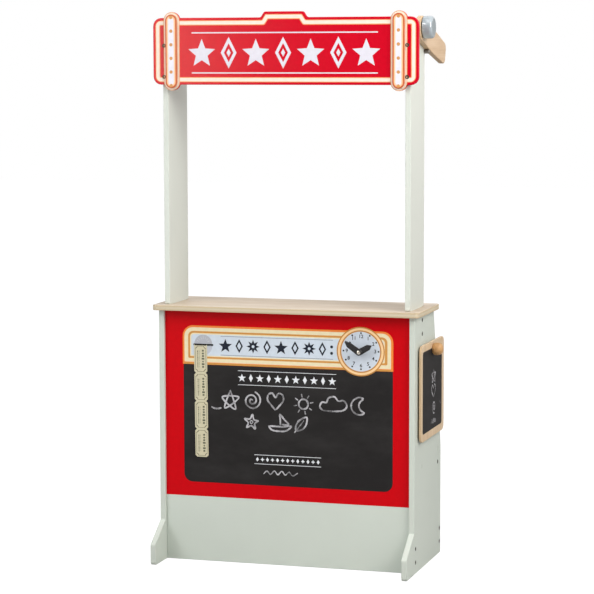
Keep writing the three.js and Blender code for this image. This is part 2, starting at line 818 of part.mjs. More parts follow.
const drum_end = drum_inner_x + arm_drum_length;
const drum_bore_end = drum_end - arm_drum_wall;
const drum_shoulder = drum_end - arm_drum_crown;
const drum_rim = [];
for (let step = 0; step <= round_steps; step += 1) {
  const turn = (Math.PI / 2) * step / round_steps;
  drum_rim.push([
    arm_drum_radius - arm_drum_edge_round * (1 - Math.cos(turn)),
    drum_shoulder - arm_drum_edge_round * (1 - Math.sin(turn)),
  ]);
}
const drum_profile = [
  [arm_bolt_radius + clearance, drum_inner_x],
  [arm_drum_radius - arm_drum_crown, drum_inner_x],
  [arm_drum_radius, drum_inner_x + arm_drum_crown],
  ...drum_rim,
  [arm_drum_radius / 2, drum_end - arm_drum_crown * drum_crown_share],
  [0, drum_end],
  [0, drum_bore_end],
  [arm_bolt_radius + clearance, drum_bore_end],
  [arm_bolt_radius + clearance, drum_inner_x],
];
addPiece("arm_drum", turned(drum_profile, drum_sides, unit_x).translate(...arm_place), "grey_paint");

const bolt_head_start = inner_half_width - board - arm_bolt_head_height;
const bolt_profile = [
  [0, bolt_head_start],
  [arm_bolt_head_radius * bolt_head_flat_share, bolt_head_start],
  [arm_bolt_head_radius, bolt_head_start + arm_bolt_head_height / 2],
  [arm_bolt_head_radius, inner_half_width - board],
  [arm_bolt_radius, inner_half_width - board],
  [arm_bolt_radius, drum_bore_end - clearance],
  [0, drum_bore_end - clearance],
];
addPiece("arm_bolt", turned(bolt_profile, peg_sides, unit_x).translate(...arm_place), "dark_steel");

const stop_peg_profile = [
  [0, inner_half_width - stop_peg_tenon_length],
  [stop_peg_tenon_radius, inner_half_width - stop_peg_tenon_length],
  [stop_peg_tenon_radius, inner_half_width],
  [stop_peg_radius, inner_half_width],
  [stop_peg_radius, arm_outer_x - board_edge_round],
  [stop_peg_radius - board_edge_round, arm_outer_x],
  [0, arm_outer_x],
];
addPiece("stop_peg", turned(stop_peg_profile, screw_sides, unit_x).translate(0, stop_peg_y, stop_peg_z),
  "dark_steel");

// Screws

for (const [side_name, places] of Object.entries(screws)) {
  for (const [name, place] of Object.entries(places)) {
    addPiece(`${side_name}_${name}`, screw(place), "dark_steel");
  }
}
for (const [name, place] of Object.entries(sign_screws)) addPiece(name, screw(place), "dark_steel");

// The origin goes to the middle of the stand's footprint, on the floor

const [tip_y] = onArm(arm_length - arm_tip_top_round, arm_top_half_width - arm_tip_top_round);
const middle_x = (peg_end_x - counter_half_width) / 2;
const middle_y = (tip_y + arm_tip_top_round - toe_reach) / 2;
stand.position.set(-middle_x, -middle_y, 0);

export default stand;
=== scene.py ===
import itertools
import math

import bmesh
import bpy
from mathutils import Matrix, Vector, noise


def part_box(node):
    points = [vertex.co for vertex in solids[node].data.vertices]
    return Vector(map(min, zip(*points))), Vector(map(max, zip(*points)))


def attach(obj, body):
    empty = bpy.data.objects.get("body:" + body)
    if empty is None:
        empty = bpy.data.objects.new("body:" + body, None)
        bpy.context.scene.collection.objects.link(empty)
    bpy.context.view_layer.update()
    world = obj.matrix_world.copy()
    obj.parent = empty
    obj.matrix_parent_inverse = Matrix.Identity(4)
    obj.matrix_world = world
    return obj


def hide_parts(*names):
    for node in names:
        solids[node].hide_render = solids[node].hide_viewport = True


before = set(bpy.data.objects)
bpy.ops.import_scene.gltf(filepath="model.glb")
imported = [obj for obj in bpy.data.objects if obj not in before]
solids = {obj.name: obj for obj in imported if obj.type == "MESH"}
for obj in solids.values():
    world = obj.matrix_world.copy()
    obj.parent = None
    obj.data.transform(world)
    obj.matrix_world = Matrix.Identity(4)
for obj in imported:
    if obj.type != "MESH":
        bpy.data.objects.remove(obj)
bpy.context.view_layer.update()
scene = bpy.context.scene

# The view: a product photographer's long lens, level with the header sign and to the stand's right, tilted
# down a little. Places on the stand are in millimetres from the middle of its front edge, at the floor.

counter_low, counter_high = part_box("counter_top")
panel_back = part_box("left_side_panel")[1][1]
panel_base_depth = 246
stand_middle = (counter_low[0] + counter_high[0]) / 2
stand_front = panel_back - panel_base_depth / 1000


def on_stand(across, back, up):
    return Vector((stand_middle + across / 1000, stand_front + back / 1000, up / 1000))


view_yaw = 0.2943
view_pitch = 0.1059
view_roll = -0.0022
lens_place = on_stand(1462.3, -4731.6, 1122.9)
focal_pixels = 2294.5
photo_pixels = 594
ahead = Vector((-math.sin(view_yaw) * math.cos(view_pitch), math.cos(view_yaw) * math.cos(view_pitch),
                -math.sin(view_pitch)))
level = Vector((math.cos(view_yaw), math.sin(view_yaw), 0))
plumb = level.cross(ahead)
right = level * math.cos(view_roll) + plumb * math.sin(view_roll)
up = plumb * math.cos(view_roll) - level * math.sin(view_roll)
lens = bpy.data.cameras.new("photo_lens")
lens.sensor_width = 36
lens.lens = focal_pixels * lens.sensor_width / photo_pixels
lens.clip_start = 0.1
lens.clip_end = 60
camera = bpy.data.objects.new("photo_camera", lens)
camera.matrix_world = Matrix.Translation(lens_place) @ Matrix(
    ((right.x, up.x, -ahead.x, 0), (right.y, up.y, -ahead.y, 0), (right.z, up.z, -ahead.z, 0), (0, 0, 0, 1)))
scene.collection.objects.link(camera)
scene.camera = camera
scene.view_settings.view_transform = "Standard"

# The studio: a room that the lens sees as pure white, a broad soft lamp at the front left, one overhead and
# a smaller one close by at the right, higher than the posts. A card on the floor sends a little light up
# under the counter, and a lit card that the paint's gloss alone catches is mirrored in the sign's left end.


def paint(hex_code):
    parts = [int(hex_code[i:i + 2], 16) / 255 for i in (0, 2, 4)]
    return (*[c / 12.92 if c <= 0.04045 else ((c + 0.055) / 1.055) ** 2.4 for c in parts], 1)


def add_node(tree, kind, settings=None, links=None):
    node = tree.nodes.new(kind)
    for key, value in (settings or {}).items():
        if isinstance(key, str) and hasattr(node, key):
            setattr(node, key, value)
        else:
            node.inputs[key].default_value = value
    for key, socket in (links or {}).items():
        tree.links.new(socket, node.inputs[key])
    return node


room = bpy.data.worlds.new("white_studio_room")
room.use_nodes = True
scene.world = room
room_tree = room.node_tree
room_tree.nodes.clear()
ray = add_node(room_tree, "ShaderNodeLightPath").outputs
seen = add_node(room_tree, "ShaderNodeMath", {"operation": "MAXIMUM"},
                {0: ray["Is Camera Ray"], 1: ray["Is Transmission Ray"]})
bright = add_node(room_tree, "ShaderNodeBackground", {"Color": (1, 1, 1, 1), "Strength": 1.0})
fill = add_node(room_tree, "ShaderNodeBackground", {"Color": paint("fbfcff"), "Strength": 0.5})
# gloss mirrors white from behind the stand and a dim room from in front of it
towards = add_node(room_tree, "ShaderNodeSeparateXYZ", None,
                   {0: add_node(room_tree, "ShaderNodeTexCoord").outputs["Generated"]})
backdrop = add_node(room_tree, "ShaderNodeMapRange",
                    {"From Min": -0.25, "From Max": 0.35, "To Min": 0.16, "To Max": 1.0},
                    {"Value": towards.outputs["Y"]})
mirrored = add_node(room_tree, "ShaderNodeBackground", {"Color": (1, 1, 1, 1)},
                    {"Strength": backdrop.outputs[0]})
bounce = add_node(room_tree, "ShaderNodeMixShader", None,
                  {0: ray["Is Glossy Ray"], 1: fill.outputs[0], 2: mirrored.outputs[0]})
room_mix = add_node(room_tree, "ShaderNodeMixShader", None,
                    {0: seen.outputs[0], 1: bounce.outputs[0], 2: bright.outputs[0]})
add_node(room_tree, "ShaderNodeOutputWorld", None, {"Surface": room_mix.outputs[0]})


def softbox(name, place, aim, width, height, watts, hex_code="ffffff"):
    lamp = bpy.data.lights.new(name, "AREA")
    lamp.shape = "RECTANGLE"
    lamp.size = width
    lamp.size_y = height
    lamp.energy = watts
    lamp.color = paint(hex_code)[:3]
    box = bpy.data.objects.new(name, lamp)
    box.location = on_stand(*place)
    box.rotation_euler = (on_stand(*aim) - on_stand(*place)).to_track_quat("-Z", "Y").to_euler()
    box.visible_camera = False
    scene.collection.objects.link(box)
    return box


# places and aims are in millimetres like the stand's own, and the lamps' faces in metres
softbox("front_left_softbox", (-2300, -2900, 2900), (0, 0, 950), 2.0, 2.0, watts=76)
softbox("right_softbox", (1850, -780, 1850), (150, 80, 850), 1.1, 1.4, watts=42, hex_code="fffaf7")
softbox("overhead_softbox", (200, -1500, 4300), (0, 0, 900), 2.6, 2.6, watts=42)
softbox("floor_bounce_card", (0, -720, 12), (0, -720, 1000), 1.7, 1.0, watts=1.3)
glare_card = softbox("left_glare_card", (-1500, -2900, 1250), (-1500, 0, 1250), 0.7, 1.2, watts=26,
                     hex_code="fff3de")
glare_card.visible_diffuse = False

# the floor looks white to the lens and still takes the stand's shadow
floor_reach = 14
floor_corners = ((-1, -1), (1, -1), (1, 1), (-1, 1))
floor_mesh = bpy.data.meshes.new("studio_floor")
floor_mesh.from_pydata([(floor_reach * x, floor_reach * y, 0) for x, y in floor_corners], [], [(0, 1, 2, 3)])
studio_floor = bpy.data.objects.new("studio_floor", floor_mesh)
scene.collection.objects.link(studio_floor)
paper = bpy.data.materials.new("white_backdrop_paper")
paper.use_nodes = True
paper_tree = paper.node_tree
paper_tree.nodes.clear()
paper_ray = add_node(paper_tree, "ShaderNodeLightPath")
paper_matt = add_node(paper_tree, "ShaderNodeBsdfDiffuse", {"Color": paint("b4b3b1")})
paper_dim = add_node(paper_tree, "ShaderNodeBsdfDiffuse", {"Color": paint("7a7a7a")})
paper_glow = add_node(paper_tree, "ShaderNodeEmission", {"Color": (1, 1, 1, 1), "Strength": 0.93})
paper_seen = add_node(paper_tree, "ShaderNodeAddShader", None,
                      {0: paper_dim.outputs[0], 1: paper_glow.outputs[0]})
paper_mix = add_node(paper_tree, "ShaderNodeMixShader", None,
                     {0: paper_ray.outputs["Is Camera Ray"], 1: paper_matt.outputs[0],
                      2: paper_seen.outputs[0]})
add_node(paper_tree, "ShaderNodeOutputMaterial", None, {"Surface": paper_mix.outputs[0]})
studio_floor.data.materials.append(paper)

# Sage boards: the side panels, kick board, shelf, its lip, the lower rail and the posts. MDF, sprayed with a
# satin sage lacquer that leaves a faint ripple on the faces; the sawn edges turn duller. The one lacquer is
# given four tones, the posts' and the shelf's painted lighter as painted light, and the edges a tone apart
# from the
# faces: lighter on the posts, kick board, lip, rail and shelf as painted highlight, a touch darker on the
# side panels as painted shade.


def surface(name, settings):
    finish = bpy.data.materials.new(name)
    finish.use_nodes = True
    tree = finish.node_tree
    tree.nodes.clear()
    place = add_node(tree, "ShaderNodeTexCoord").outputs["Object"]
    coat = add_node(tree, "ShaderNodeBsdfPrincipled", settings)
    add_node(tree, "ShaderNodeOutputMaterial", None, {"Surface": coat.outputs[0]})
    return finish, tree, place, coat


def dress(node, finish):
    node.data.materials.clear()
    node.data.materials.append(finish)


def sawn_edges(tree, face_axis, face_limit):
    # nothing on a board's two faces, full strength on its edges
    normal = add_node(tree, "ShaderNodeTexCoord").outputs["Normal"]
    along = add_node(tree, "ShaderNodeSeparateXYZ", None, {0: normal}).outputs[face_axis]
    squarely = add_node(tree, "ShaderNodeMath", {"operation": "ABSOLUTE"}, {0: along}).outputs[0]
    return add_node(tree, "ShaderNodeMapRange", {"From Min": face_limit, "From Max": face_limit - 0.4},
                    {"Value": squarely}).outputs[0]


def sprayed_mdf(name, hex_code, edge_hex, face_axis):
    finish, tree, place, coat = surface(name, {"IOR": 1.5})
    edge = sawn_edges(tree, face_axis, 0.75)
    # the coat is a little thicker here and thinner there, in clouds about 200 mm wide
    cloud = add_node(tree, "ShaderNodeTexNoise", {"Scale": 1000 / 200, "Detail": 3.0}, {"Vector": place})
    cloud_tone = add_node(tree, "ShaderNodeMapRange",
                          {"From Min": 0.3, "From Max": 0.7, "To Min": 0.97, "To Max": 1.02},
                          {"Value": cloud.outputs["Fac"]})
    # the edges' tone apart from the faces' is painted light: painted highlight where it is lighter, painted
    # shade where darker
    base = add_node(tree, "ShaderNodeMix", {"data_type": "RGBA", 6: paint(hex_code), 7: paint(edge_hex)},
                    {0: edge})
    tint = add_node(tree, "ShaderNodeHueSaturation", None,
                    {"Color": base.outputs[2], "Value": cloud_tone.outputs[0]})
    tree.links.new(tint.outputs[0], coat.inputs["Base Color"])
    sheen = add_node(tree, "ShaderNodeMapRange", {"To Min": 0.42, "To Max": 0.6}, {"Value": edge})
    tree.links.new(sheen.outputs[0], coat.inputs["Roughness"])
    # spray ripple, about 6 mm from crest to crest
    ripple = add_node(tree, "ShaderNodeTexNoise", {"Scale": 1000 / 6, "Detail": 2.0}, {"Vector": place})
    # sanded MDF fibre under the paint of the edges, drawn at 1.5 mm, coarser than real, so that it shows
    fibre = add_node(tree, "ShaderNodeTexNoise", {"Scale": 1000 / 1.5, "Detail": 3.0}, {"Vector": place})
    relief = add_node(tree, "ShaderNodeMix", {"data_type": "FLOAT"},
                      {0: edge, 2: ripple.outputs["Fac"], 3: fibre.outputs["Fac"]})
    bump = add_node(tree, "ShaderNodeBump", {"Strength": 0.5, "Distance": 0.00012},
                    {"Height": relief.outputs[0]})
    tree.links.new(bump.outputs[0], coat.inputs["Normal"])
    return finish


# one sage lacquer in four tones: the posts' and the shelf's are painted lighter than the side panels' and the
# kick board's, as painted light
sage_upright = sprayed_mdf("satin_sage_lacquer_on_mdf_upright", "c9d1c7", "c7cec4", face_axis=0)
sage_post = sprayed_mdf("satin_sage_lacquer_on_mdf_post", "d2d6cd", "d4dad1", face_axis=0)
sage_across = sprayed_mdf("satin_sage_lacquer_on_mdf_across", "c8d0c6", "d3dad0", face_axis=1)
sage_flat = sprayed_mdf("satin_sage_lacquer_on_mdf_shelf", "cbd3c9", "d3dad0", face_axis=2)
for name in ("left_side_panel", "right_side_panel"):
    dress(solids[name], sage_upright)
for name in ("left_post", "right_post"):
    dress(solids[name], sage_post)
for name in ("kick_board", "shelf_lip", "lower_rear_rail"):
    dress(solids[name], sage_across)
dress(solids["storage_shelf"], sage_flat)

# Counter: birch plywood, clear lacquered. The face veneer has long pale grain; on the edges the thick plies
# show as light and dark lines, because every second one is cut across its grain.

counter_plies = 3
board_thickness = 12


def grain(tree, place, along):
    # fine streaks over broad ones, each many times as long as it is wide
    layers = []
    for wide_mm, stretch, settings in ((4, 26, {"Detail": 4.0, "Roughness": 0.62}),
                                       (28, 16, {"Detail": 3.0, "Distortion": 0.8})):
        scale = [1000 / wide_mm] * 3
        scale[along] = 1000 / (wide_mm * stretch)
        laid = add_node(tree, "ShaderNodeMapping", {"Scale": scale}, {"Vector": place})
        streaks = add_node(tree, "ShaderNodeTexNoise", {"Scale": 1.0, **settings},
                           {"Vector": laid.outputs[0]})
        layers.append(streaks.outputs["Fac"])
    broad = add_node(tree, "ShaderNodeMath", {"operation": "MULTIPLY", 1: 0.45}, {0: layers[1]})
    both = add_node(tree, "ShaderNodeMath", {"operation": "MULTIPLY_ADD", 1: 0.55},
                    {0: layers[0], 2: broad.outputs[0]})
    return add_node(tree, "ShaderNodeMapRange", {"From Min": 0.36, "From Max": 0.64},
                    {"Value": both.outputs[0]})


def lacquered_wood(name, light_hex, dark_hex, along, plies=None):
    finish, tree, place, coat = surface(name, {"IOR": 1.5})
    streak = grain(tree, place, along)
    veneer = add_node(tree, "ShaderNodeMix", {"data_type": "RGBA", 6: paint(light_hex), 7: paint(dark_hex)},
                      {0: streak.outputs[0]})
    colour = veneer.outputs[2]
    if plies:
        ply_axis, ply_start, ply_mm, side_hex, end_hex = plies
        spot = add_node(tree, "ShaderNodeSeparateXYZ", None, {0: place})
        edge = sawn_edges(tree, ply_axis, 0.8)
        depth = add_node(tree, "ShaderNodeMath", {"operation": "SUBTRACT", 1: ply_start},
                         {0: spot.outputs[ply_axis]})
        wave = add_node(tree, "ShaderNodeMath", {"operation": "MULTIPLY", 1: math.pi * 1000 / ply_mm},
                        {0: depth.outputs[0]})
        crest = add_node(tree, "ShaderNodeMath", {"operation": "SINE"}, {0: wave.outputs[0]})
        layer = add_node(tree, "ShaderNodeMapRange", {"From Min": -0.35, "From Max": 0.35},
                         {"Value": crest.outputs[0]})
        lines = add_node(tree, "ShaderNodeMix", {"data_type": "RGBA", 6: paint(side_hex), 7: paint(end_hex)},
                         {0: layer.outputs[0]})
        cut = add_node(tree, "ShaderNodeMix", {"data_type": "RGBA"},
                       {0: edge, 6: colour, 7: lines.outputs[2]})
        colour = cut.outputs[2]
    tree.links.new(colour, coat.inputs["Base Color"])
    # the lacquer sinks a little into the dark streaks, which leaves them duller and a hair lower
    dull = add_node(tree, "ShaderNodeMapRange", {"To Min": 0.4, "To Max": 0.52}, {"Value": streak.outputs[0]})
    tree.links.new(dull.outputs[0], coat.inputs["Roughness"])
    bump = add_node(tree, "ShaderNodeBump", {"Strength": 0.35, "Distance": 0.00015},
                    {"Height": streak.outputs[0]})
    tree.links.new(bump.outputs[0], coat.inputs["Normal"])
    return finish


dress(solids["counter_top"],
      lacquered_wood("lacquered_birch_plywood_counter", "cfc1ae", "b8a288", along=0,
                     plies=(2, counter_low[2], board_thickness / counter_plies, "cbbfa5", "c5b393")))

# Front panel: a 6 mm board let into grooves in the side panels, printed red and varnished on the audience's
# side and left white behind. The varnish is satin, with a faint orange peel.


def varnished_print(name, hex_code, back_hex=None, gloss=0.36, shine=0.18):
    finish, tree, place, coat = surface(name, {"IOR": 1.5, "Specular IOR Level": shine, "Roughness": gloss})
    # the ink lies unevenly, in patches about 9 mm wide
    mottle = add_node(tree, "ShaderNodeTexNoise", {"Scale": 1000 / 9, "Detail": 3.0}, {"Vector": place})
    tone = add_node(tree, "ShaderNodeMapRange",
                    {"From Min": 0.3, "From Max": 0.7, "To Min": 0.96, "To Max": 1.03},
                    {"Value": mottle.outputs["Fac"]})
    ink = add_node(tree, "ShaderNodeHueSaturation", {"Color": paint(hex_code)}, {"Value": tone.outputs[0]})
    colour = ink.outputs[0]
    if back_hex:
        normal = add_node(tree, "ShaderNodeSeparateXYZ", None,
                          {0: add_node(tree, "ShaderNodeTexCoord").outputs["Normal"]})
        behind = add_node(tree, "ShaderNodeMath", {"operation": "GREATER_THAN", 1: 0.5},
                          {0: normal.outputs[1]})
        sides = add_node(tree, "ShaderNodeMix", {"data_type": "RGBA", 7: paint(back_hex)},
                         {0: behind.outputs[0], 6: colour})
        colour = sides.outputs[2]
    tree.links.new(colour, coat.inputs["Base Color"])
    # orange peel of the varnish, about 5 mm across
    peel = add_node(tree, "ShaderNodeTexNoise", {"Scale": 1000 / 5, "Detail": 1.0}, {"Vector": place})
    bump = add_node(tree, "ShaderNodeBump", {"Strength": 0.4, "Distance": 0.0001},
                    {"Height": peel.outputs["Fac"]})
    tree.links.new(bump.outputs[0], coat.inputs["Normal"])
    return finish


red_panel = varnished_print("red_print_varnished_front_panel", "c7020f", "e4e3de", shine=0.07)
dress(solids["front_panel"], red_panel)

# Marquee on the front panel: bands of orange, cream and pale blue ink screened over the red, each a film
# a tenth of a millimetre thick, so its edge catches a little light.

front_face = 8
ink_film = 0.12
ink_lap = 0.03


def rounded(corners, steps=6):
    outline = []
    for i, (x, z, radius) in enumerate(corners):
        corner = Vector((x, z))
        back = (Vector(corners[i - 1][:2]) - corner).normalized()
        onward = (Vector(corners[(i + 1) % len(corners)][:2]) - corner).normalized()
        if radius <= 0:
            outline.append((x, z))
            continue
        half = math.acos(max(-1, min(1, back.dot(onward)))) / 2
        start = corner + back * (radius / math.tan(half))
        centre = corner + (back + onward).normalized() * (radius / math.sin(half))
        sweep = (math.pi - 2 * half) * (1 if back.y * onward.x - back.x * onward.y > 0 else -1)
        for step in range(steps + 1):
            arm = start - centre
            arm.rotate(Matrix.Rotation(sweep * step / steps, 2))
            outline.append(tuple(centre + arm))
    return outline


def inset(corners, depth, least=0.0, hollow=None):
    moved = []
    for i, (x, z, radius) in enumerate(corners):
        corner = Vector((x, z))
        back = (corner - Vector(corners[i - 1][:2])).normalized()
        onward = (Vector(corners[(i + 1) % len(corners)][:2]) - corner).normalized()
        turn = back.x * onward.y - back.y * onward.x
        across = Vector((-back.y, back.x)) + Vector((-onward.y, onward.x))
        shift = across * (depth / (1 + back.dot(onward)))
        inner = max(radius - depth, least) if turn > 0 else radius + depth if hollow is None else hollow
        moved.append((x + shift.x, z + shift.y, max(inner, 0)))
    return moved


def band(corners, outer, inner, least=0.0, hollow=None):
    return [rounded(inset(corners, depth, least, hollow)) for depth in (outer, inner)]


def oblong(left, bottom, right_end, top, low_radius=0.0, top_radius=0.0):
    return [(left, bottom, low_radius), (right_end, bottom, low_radius), (right_end, top, top_radius),
            (left, top, top_radius)]


def bar(left, right_end, z, half_height):
    return rounded(oblong(left, z - half_height, right_end, z + half_height))


def disc(x, z, radius, start=0.0, sweep=2 * math.pi, steps=64):
    count = steps if sweep >= 2 * math.pi else steps + 1
    turns = [start + sweep * i / steps for i in range(count)]
    return [(x + radius * math.cos(turn), z + radius * math.sin(turn)) for turn in turns]


def filled(curve):
    holder = bpy.data.objects.new(curve.name, curve)
    mesh = bpy.data.meshes.new_from_object(holder)
    bpy.data.objects.remove(holder)
    bpy.data.curves.remove(curve)
    work = bmesh.new()
    work.from_mesh(mesh)
    bpy.data.meshes.remove(mesh)
    return work


def add_piece(name, work, finishes, body):
    mesh = bpy.data.meshes.new(name)
    work.to_mesh(mesh)
    work.free()
    for finish in finishes:
        mesh.materials.append(finish)
    piece = bpy.data.objects.new(name, mesh)
    scene.collection.objects.link(piece)
    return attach(piece, body)


def ink_print(name, outlines, ink, face=front_face, lap=0, side="front", bend=None, film=ink_film,
              body="stand"):
    thick = film + ink_lap * lap
    curve = bpy.data.curves.new(name, "CURVE")
    curve.dimensions = "2D"
    curve.fill_mode = "BOTH"
    curve.extrude = thick / 2
    for outline in outlines:
        spline = curve.splines.new("POLY")
        spline.points.add(len(outline) - 1)
        for point, (x, z) in zip(spline.points, outline):
            point.co = (x, z, 0, 1)
        spline.use_cyclic_u = True
    work = filled(curve)
    bmesh.ops.remove_doubles(work, verts=work.verts, dist=0.0005)
    for vert in work.verts:
        x, z, lift = vert.co.x, vert.co.y, vert.co.z + thick / 2
        if bend:
            x, z = bend(x, z)
        vert.co = on_stand(x, face - lift, z) if side == "front" else on_stand(face + lift, x, z)
    bmesh.ops.recalc_face_normals(work, faces=work.faces)
    return add_piece(name, work, [ink], body)


ink_orange = varnished_print("orange_screen_ink", "ea8438")
ink_cream = varnished_print("cream_screen_ink", "e6d9b4")
ink_ochre = varnished_print("ochre_screen_ink", "cb9148")
ink_blue_grey = varnished_print("pale_blue_grey_screen_ink", "cad4de")
ink_dark = varnished_print("blue_black_screen_ink", "1b2230")
ink_grey_line = varnished_print("thin_grey_screen_ink", "848d97")

marquee_steps = [("orange_edge", oblong(-238, 440.8, 241.7, 527, 0, 24), ink_orange),
                 ("cream_band", oblong(-234.2, 445.8, 236.7, 522.7, 1, 19.5), ink_cream),
                 ("ochre_line", oblong(-225.5, 454.2, 228.7, 514.6, 3, 12), ink_ochre),
                 ("inner_cream_line", oblong(-221, 458.4, 223, 510.2, 2, 8.5), ink_cream),
                 ("field", oblong(-218.2, 460.8, 220, 507.7, 1.5, 6.5), ink_blue_grey)]
for step, (name, corners, ink) in enumerate(marquee_steps):
    outlines = [rounded(corners)] + [rounded(after[1]) for after in marquee_steps[step + 1:step + 2]]
    ink_print(f"marquee_{name}", outlines, ink)
ink_print("marquee_bottom_line", [rounded(oblong(-234, 440.8, 237.5, 444.6))], ink_ochre, lap=1)
for name, z in (("marquee_rule_top", 504.6), ("marquee_rule_bottom", 463)):
    ink_print(name, [bar(-150, 107, z, 0.65)], ink_grey_line, lap=1)

# Marquee ornament: a row of plain geometric shapes screened in blue-black ink, and the two dots in front of
# the clock. Every second shape is a hollow lozenge, through which the pale blue field shows.


def star(x, z, radius, waist=0.42, turn=math.pi / 2, points=5):
    reach = (radius, radius * waist)
    return [(x + reach[i % 2] * math.cos(turn + math.pi * i / points),
             z + reach[i % 2] * math.sin(turn + math.pi * i / points)) for i in range(2 * points)]


def lozenge(x, z, half_width, half_height):
    return [(x - half_width, z), (x, z - half_height), (x + half_width, z), (x, z + half_height)]


def frame_of(shape, x, z, share):
    return [(x + (px - x) * share, z + (pz - z) * share) for px, pz in shape]


motif_z = 484.3
motifs = ((-139, "star"), (-107, "lozenge"), (-75, "burst"), (-43, "lozenge"), (-11, "star"),
                (21, "lozenge"), (53, "burst"), (83, "lozenge"))
for i, (x, kind) in enumerate(motifs):
    if kind == "lozenge":
        outline = lozenge(x, motif_z, half_width=8.5, half_height=15.5)
        shapes = [outline, frame_of(outline, x, motif_z, 0.55)]
    elif kind == "star":
        shapes = [star(x, motif_z - 1, radius=16)]
    else:
        shapes = [star(x, motif_z, radius=15.5, waist=0.5, points=8), disc(x, motif_z, radius=3.2, steps=20)]
    ink_print(f"marquee_shape_{i + 1}", shapes, ink_dark, lap=1)
for i, z in enumerate((489.9, 475.9)):
    ink_print(f"marquee_dot_{i + 1}", [disc(103.8, z, radius=3.3, steps=24)], ink_dark, lap=1)

# Play clock: a ringed dial printed over the marquee, with twelve dots and plain numbers; its moulded black
# ABS hands turn on a screw with a round nickel-plated head.

clock_x = 169
clock_z = 482
dial_x = clock_x + 0.7
dial_z = clock_z + 1
mark_ring = 39.2
number_ring = 31.8
figure_lap = 3
figure_film = ink_film + figure_lap * ink_lap
ink_dial = varnished_print("dial_pale_blue_screen_ink", "cad3dd")
ink_ring_line = varnished_print("brown_orange_screen_ink", "bf8440")
ink_peach = varnished_print("peach_screen_ink", "f0cc99")
ink_figures = varnished_print("black_dial_figures_ink", "0c0f16", gloss=0.6, shine=0.05)
ring_steps = (("outer_line", 53.7, ink_ring_line), ("peach_band", 51.1, ink_peach),
              ("inner_line", 46.3, ink_ring_line), ("dial", 43.4, ink_dial))
for step, (name, radius, ink) in enumerate(ring_steps):
    radii = [radius] + [after[1] for after in ring_steps[step + 1:step + 2]]
    ink_print(f"clock_{name}", [disc(clock_x, clock_z, size) for size in radii], ink, lap=2)
for hour in range(1, 13):
    turn = math.pi / 2 - math.pi / 6 * hour
    mark = disc(dial_x + mark_ring * math.cos(turn), dial_z + mark_ring * math.sin(turn), radius=2, steps=12)
    ink_print(f"clock_mark_{hour}", [mark], ink_figures, lap=figure_lap)
    figure = bpy.data.curves.new(f"clock_number_{hour}", "FONT")
    figure.body = str(hour)
    figure.size = 10.8
    # a wider offset makes heavier strokes, but the 8 then loses its lower ring
    figure.offset = 0.2
    figure.align_x = "CENTER"
    figure.align_y = "CENTER"
    figure.extrude = figure_film / 2
    work = filled(figure)
    for vert in work.verts:
        vert.co = on_stand(dial_x + number_ring * math.cos(turn) + vert.co.x,
                           front_face - figure_film / 2 - vert.co.z,
                           dial_z + number_ring * math.sin(turn) + vert.co.y)
    add_piece(f"clock_number_{hour}", work, [ink_figures], "stand")


def moulded_abs(name, hex_code, rough):
    finish, tree, place, coat = surface(name, {"Base Color": paint(hex_code), "IOR": 1.53})
    # the mould's fine satin, drawn at 1.2 mm, coarser than real, breaks up the highlights
    satin = add_node(tree, "ShaderNodeTexNoise", {"Scale": 1000 / 1.2, "Detail": 2.0}, {"Vector": place})
    sheen = add_node(tree, "ShaderNodeMapRange", {"To Min": rough - 0.06, "To Max": rough + 0.06},
                     {"Value": satin.outputs["Fac"]})
    tree.links.new(sheen.outputs[0], coat.inputs["Roughness"])
    return finish


black_abs = moulded_abs("moulded_black_abs", "131318", rough=0.36)
for name in ("hour_hand", "minute_hand", "clock_standoff", "arm_washer"):
    dress(solids[name], black_abs)


def turned_metal(name, hex_code, rough):
    finish, tree, place, coat = surface(name, {"Base Color": paint(hex_code), "Metallic": 1.0})
    # tool marks, drawn at 0.8 mm so that they show, spread the highlight
    scratch = add_node(tree, "ShaderNodeTexNoise", {"Scale": 1000 / 0.8, "Detail": 2.0},
                       {"Vector": place})
    sheen = add_node(tree, "ShaderNodeMapRange", {"To Min": rough - 0.08, "To Max": rough + 0.1},
                     {"Value": scratch.outputs["Fac"]})
    tree.links.new(sheen.outputs[0], coat.inputs["Roughness"])
    return finish


dress(solids["clock_spindle"], turned_metal("nickel_plated_steel", "dcd8cf", rough=0.24))
dress(solids["spindle_nut"], turned_metal("zinc_plated_steel_nut", "b9bcc0", rough=0.35))

# Ticket slot: a round grey print round it, darker above the slot than below, with short rays. A black film
# printed round the slot is a dark line along both rims and, closing in over most of the opening, painted
# shade for the slot's dark inside; its sawn walls are painted near black too, as painted shade.

slot_x = -190.1
slot_z = 484.4
slot_half = 1
slot_reach = 22.5
rim = 0.7
disc_radius = 20.8
ray_foot = slot_z + 3
ink_disc_dark = varnished_print("ticket_disc_grey_ink", "afb2b9")
ink_disc_light = varnished_print("ticket_disc_light_grey_ink", "b9bec8")
ink_disc_line = varnished_print("ticket_disc_line_ink", "c6c9cd")
ink_slot_line_and_painted_shade = varnished_print("black_slot_line_and_painted_shade_ink", "0b0e10", gloss=0.6)
ink_print("ticket_disc_upper", [disc(slot_x, slot_z + slot_half + rim, disc_radius, 0, math.pi, 32)],
          ink_disc_dark, lap=1)
ink_print("ticket_disc_lower", [disc(slot_x, slot_z - slot_half - rim, disc_radius, math.pi, math.pi, 32)],
          ink_disc_light, lap=1)
